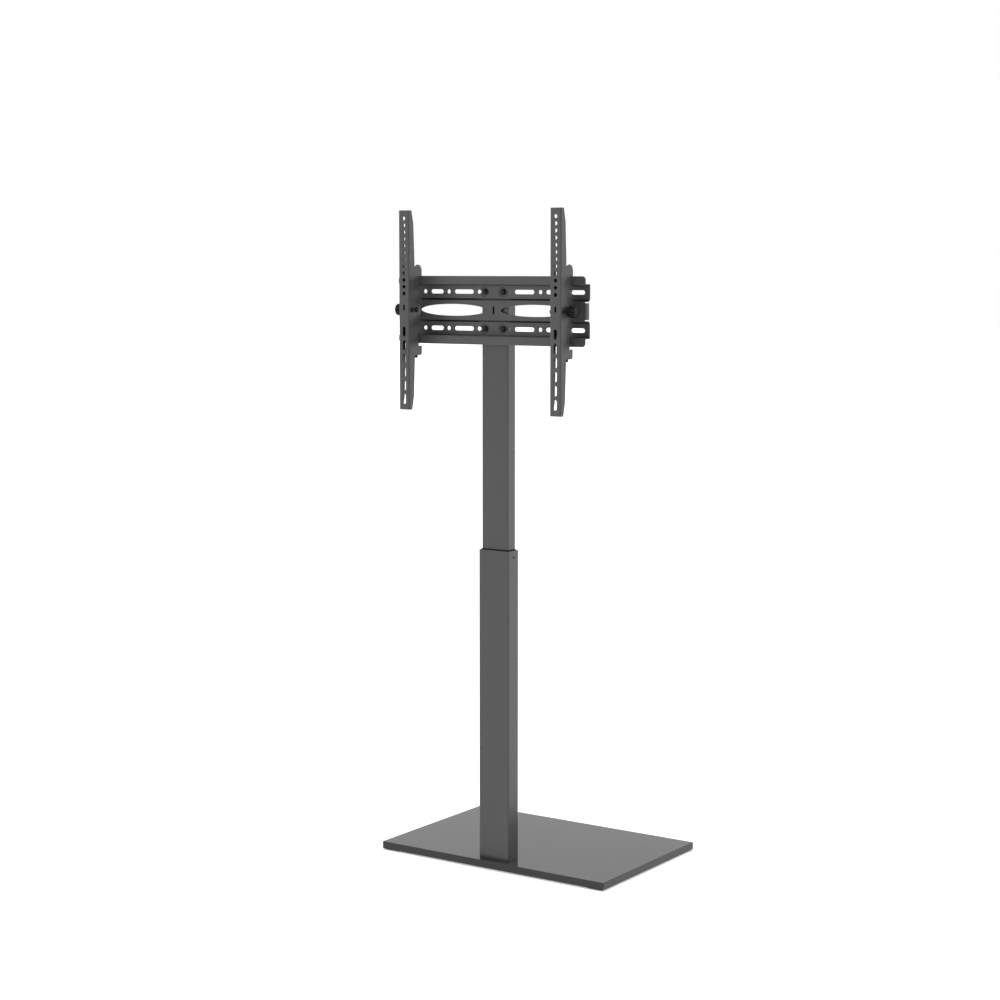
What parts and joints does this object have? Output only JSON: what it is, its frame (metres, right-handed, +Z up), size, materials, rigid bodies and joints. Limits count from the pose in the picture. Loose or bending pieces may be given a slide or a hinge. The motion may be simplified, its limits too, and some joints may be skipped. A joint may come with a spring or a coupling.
{
  "type": "screen floor stand",
  "caption": "Floor stand with a flat base plate, a telescopic column and a slotted rail that carries two tilting hook-on screen arms.",
  "frame": {"origin": "on the floor, below the middle of the whole stand's outline: the bottom centre of its box", "axes": "+Z up, the screen side of the arms faces -Y, +X to the right of someone who looks along +Y"},
  "size_m": [0.602, 0.4416, 1.4725],
  "materials": {
    "powder_coat": "fine satin charcoal powder coat",
    "base_coat": "smooth semi-gloss charcoal coat",
    "black_zinc": "black zinc, slightly shiny",
    "black_plastic": "finely grained black nylon",
    "pad_rubber": "matt black foam rubber"
  },
  "bodies": {
    "stand_base": {"base_plate": "base_coat", "foot_pads": "pad_rubber", "base_bolts": "black_zinc", "foot_plate": "powder_coat", "outer_tube": "powder_coat", "guide_collar": "black_plastic", "collar_screws": "black_zinc", "clamp_boss": "powder_coat"},
    "height_clamp": {"clamp_knob": "black_plastic"},
    "mast": {"inner_tube": "powder_coat", "tube_glide": "black_plastic", "top_cap": "black_plastic", "rail": "powder_coat", "rail_bolts": "black_zinc", "rail_washers": "black_zinc", "rail_nuts": "black_zinc"},
    "bracket_left": {"hook_bracket_left": "powder_coat", "pivot_bolt_left": "black_zinc", "pivot_nut_left": "black_zinc", "lock_bolt_left": "black_zinc", "lock_washer_left": "black_zinc"},
    "bracket_right": {"hook_bracket_right": "powder_coat", "pivot_bolt_right": "black_zinc", "pivot_nut_right": "black_zinc", "lock_bolt_right": "black_zinc", "lock_washer_right": "black_zinc"},
    "screen_arm_left": {"arm_left": "powder_coat"},
    "screen_arm_right": {"arm_right": "powder_coat"},
    "tilt_lock_left": {"tilt_knob_left": "black_plastic"},
    "tilt_lock_right": {"tilt_knob_right": "black_plastic"},
    "safety_left": {"safety_screw_left": "black_zinc"},
    "safety_right": {"safety_screw_right": "black_zinc"}
  },
  "joints": [
    {"name": "height_slide", "type": "slide", "parent": "stand_base", "child": "mast", "axis": [0, 0, 1], "range_m": [-0.37, 0.1]},
    {"name": "height_clamp_turn", "type": "hinge", "parent": "stand_base", "child": "height_clamp", "pos_m": [0, -0.14025, 0.6625], "axis": [0, 1, 0], "range_deg": [0, 540]},
    {"name": "bracket_slide_left", "type": "slide", "parent": "mast", "child": "bracket_left", "axis": [-1, 0, 0], "range_m": [-0.1, 0.025]},
    {"name": "bracket_slide_right", "type": "slide", "parent": "mast", "child": "bracket_right", "axis": [1, 0, 0], "range_m": [-0.1, 0.025]},
    {"name": "tilt_left", "type": "hinge", "parent": "bracket_left", "child": "screen_arm_left", "pos_m": [-0.2, -0.21025, 1.2535], "axis": [1, 0, 0], "range_deg": [-5, 10]},
    {"name": "tilt_right", "type": "hinge", "parent": "bracket_right", "child": "screen_arm_right", "pos_m": [0.2, -0.21025, 1.2535], "axis": [1, 0, 0], "range_deg": [-5, 10]},
    {"name": "tilt_knob_turn_left", "type": "hinge", "parent": "bracket_left", "child": "tilt_lock_left", "pos_m": [-0.2, -0.19425, 1.2535], "axis": [-1, 0, 0], "range_deg": [0, 540]},
    {"name": "tilt_knob_turn_right", "type": "hinge", "parent": "bracket_right", "child": "tilt_lock_right", "pos_m": [0.2, -0.19425, 1.2535], "axis": [1, 0, 0], "range_deg": [0, 540]},
    {"name": "safety_screw_turn_left", "type": "hinge", "parent": "bracket_left", "child": "safety_left", "pos_m": [-0.2, -0.17575, 1.152], "axis": [0, 0, -1], "range_deg": [0, 3600]},
    {"name": "safety_screw_turn_right", "type": "hinge", "parent": "bracket_right", "child": "safety_right", "pos_m": [0.2, -0.17575, 1.152], "axis": [0, 0, -1], "range_deg": [0, 3600]}
  ]
}
